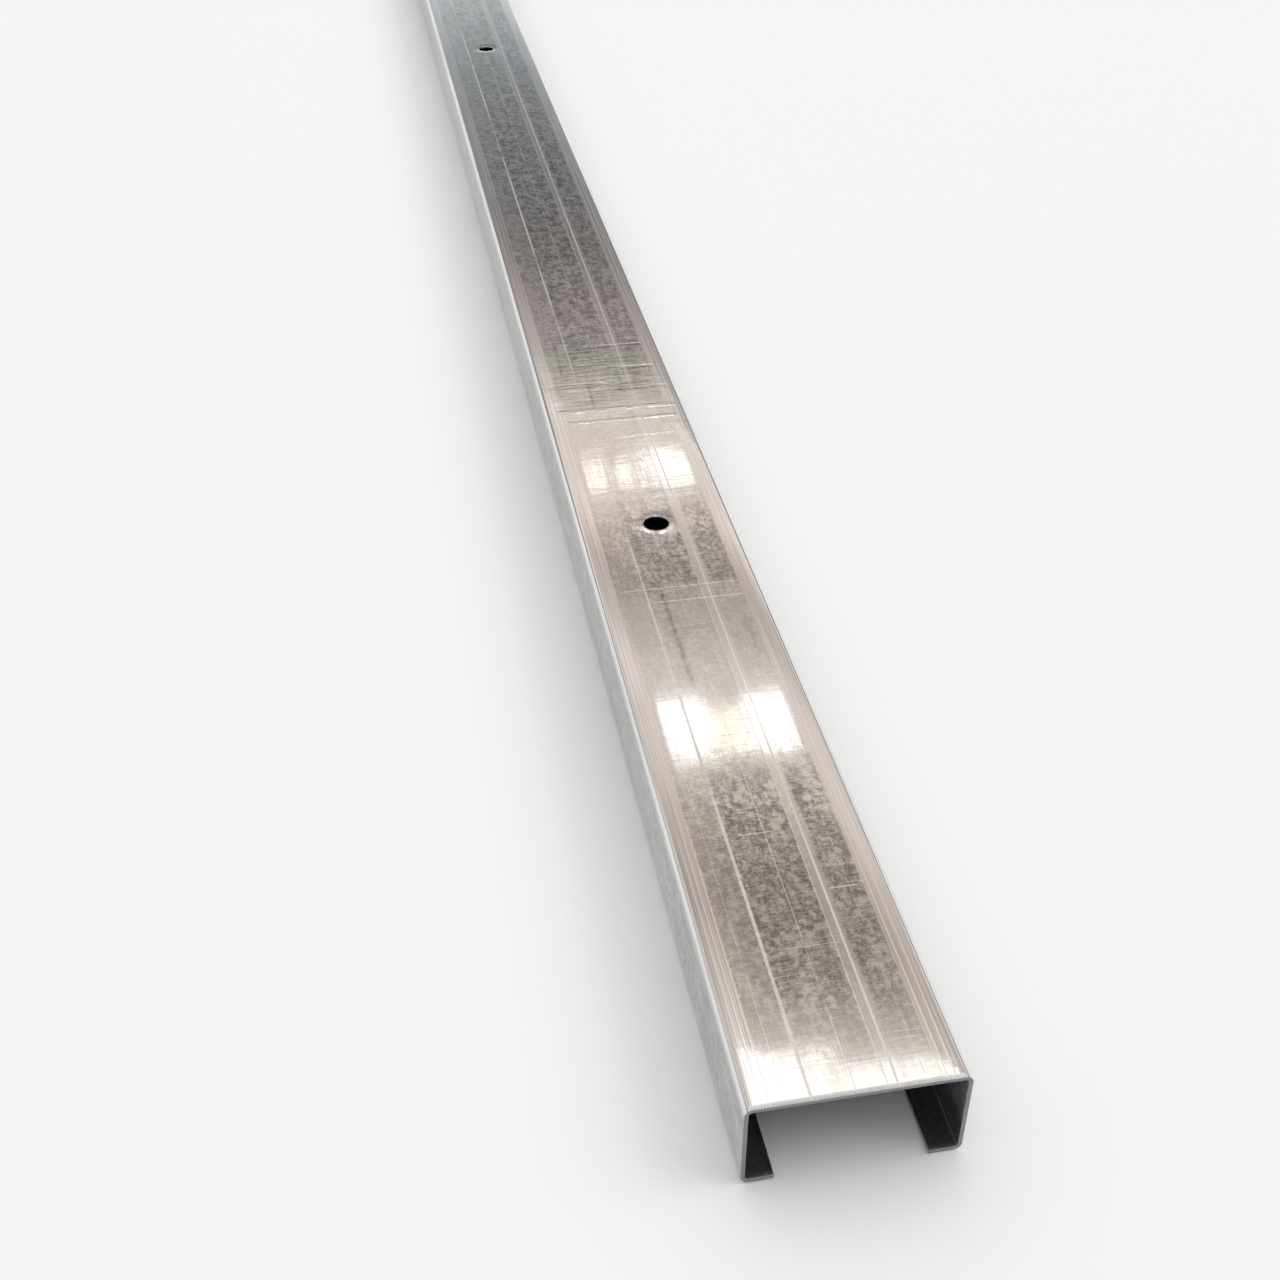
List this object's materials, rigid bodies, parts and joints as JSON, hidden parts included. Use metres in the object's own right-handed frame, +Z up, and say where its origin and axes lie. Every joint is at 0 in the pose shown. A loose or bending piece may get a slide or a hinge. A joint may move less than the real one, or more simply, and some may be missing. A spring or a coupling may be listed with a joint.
{
  "type": "c channel",
  "caption": "Cold-formed lipped C channel in galvanised sheet steel, with a row of round bolt holes along the middle of its web.",
  "frame": {"origin": "on the floor under the middle of the channel, half way along its length and between its two lips", "axes": "+Y runs along the stock from the front cut end to the back one, +X across the web, +Z up out of the web's outer face; the channel lies web up on its lips"},
  "size_m": [0.1, 3, 0.05],
  "materials": {
    "zinc_coated_steel": "hot-dip galvanised sheet steel, fine mottled zinc with long roll-forming scratches, bright but not polished"
  },
  "bodies": {
    "root": {"c_channel": "zinc_coated_steel"}
  },
  "joints": []
}
